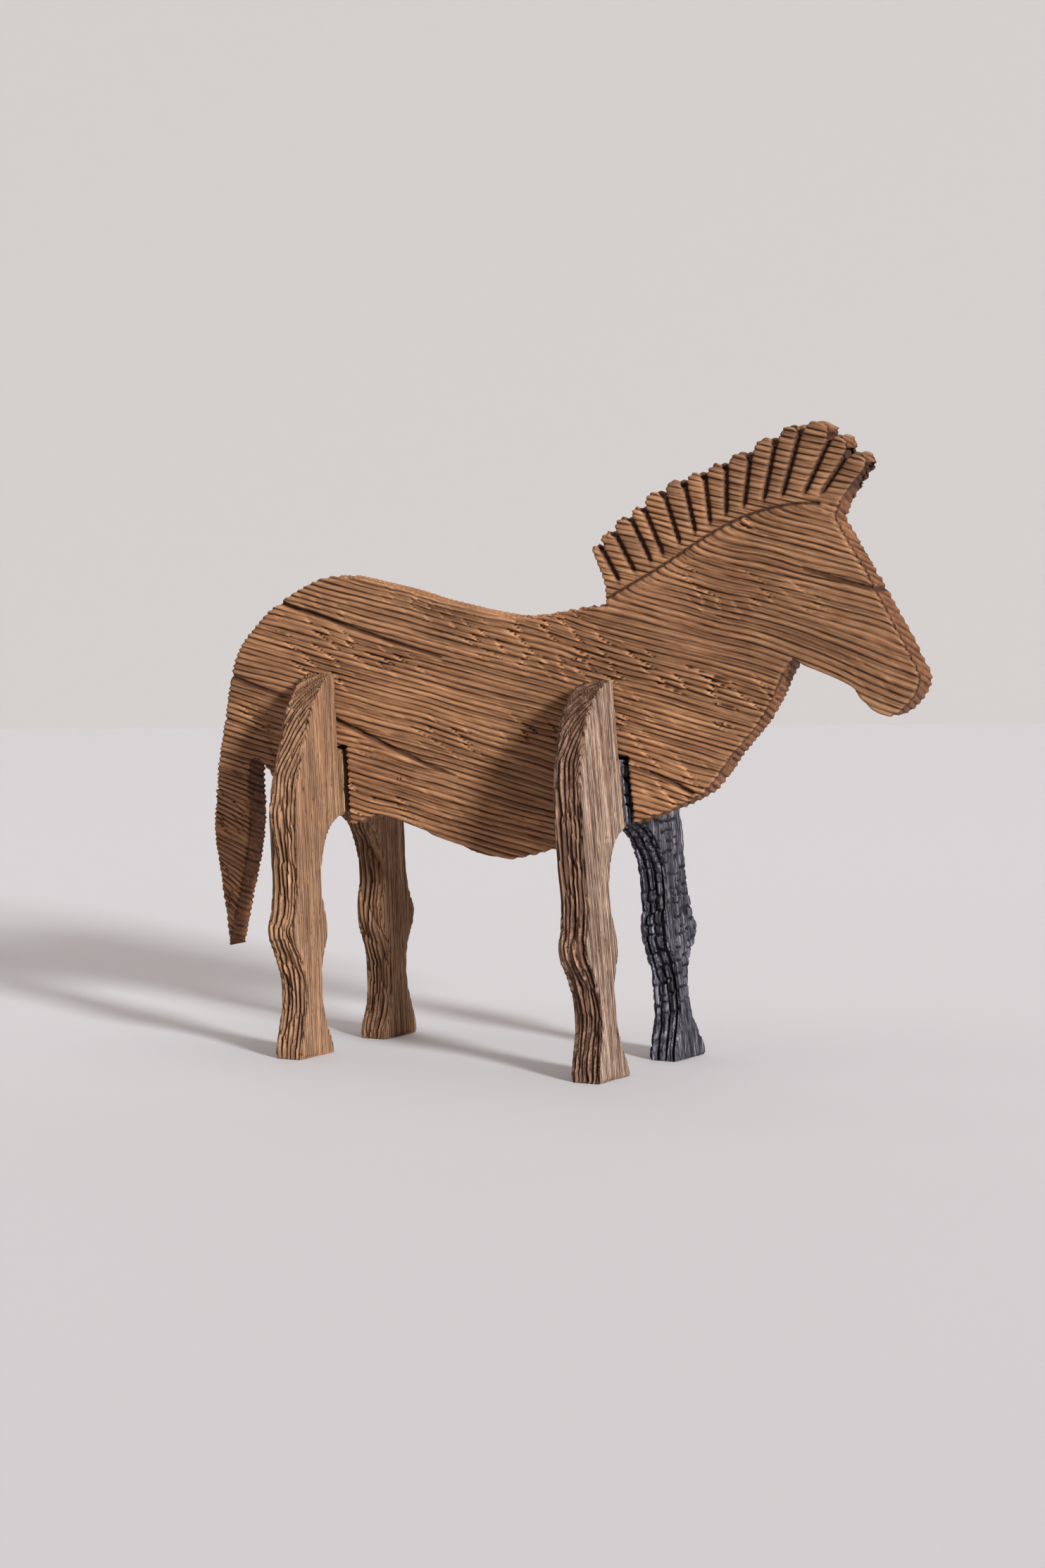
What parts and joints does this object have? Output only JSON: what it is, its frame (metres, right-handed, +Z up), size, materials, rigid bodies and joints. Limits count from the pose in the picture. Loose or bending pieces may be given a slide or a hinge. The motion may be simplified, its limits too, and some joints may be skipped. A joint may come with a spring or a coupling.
{
  "type": "wooden zebra sculpture",
  "caption": "Weathered wooden zebra: a carved body board with mane and tail, standing in slotted leg boards, with a charred leg.",
  "frame": {"origin": "on the ground, under the middle of the whole figure", "axes": "+X towards the nose, +Y towards the charred leg's side, +Z up"},
  "size_m": [0.5548, 0.1645, 0.441],
  "materials": {
    "body_wood": "bare softwood, weathered to brown, the grain standing out in ridges",
    "hind_leg_wood": "bare softwood, weathered, lighter tan",
    "front_leg_wood": "bare softwood, grey-brown on one half and charred black on the other"
  },
  "bodies": {
    "root": {"body_board": "body_wood", "hind_leg_board": "hind_leg_wood", "front_leg_board": "front_leg_wood"}
  },
  "joints": []
}
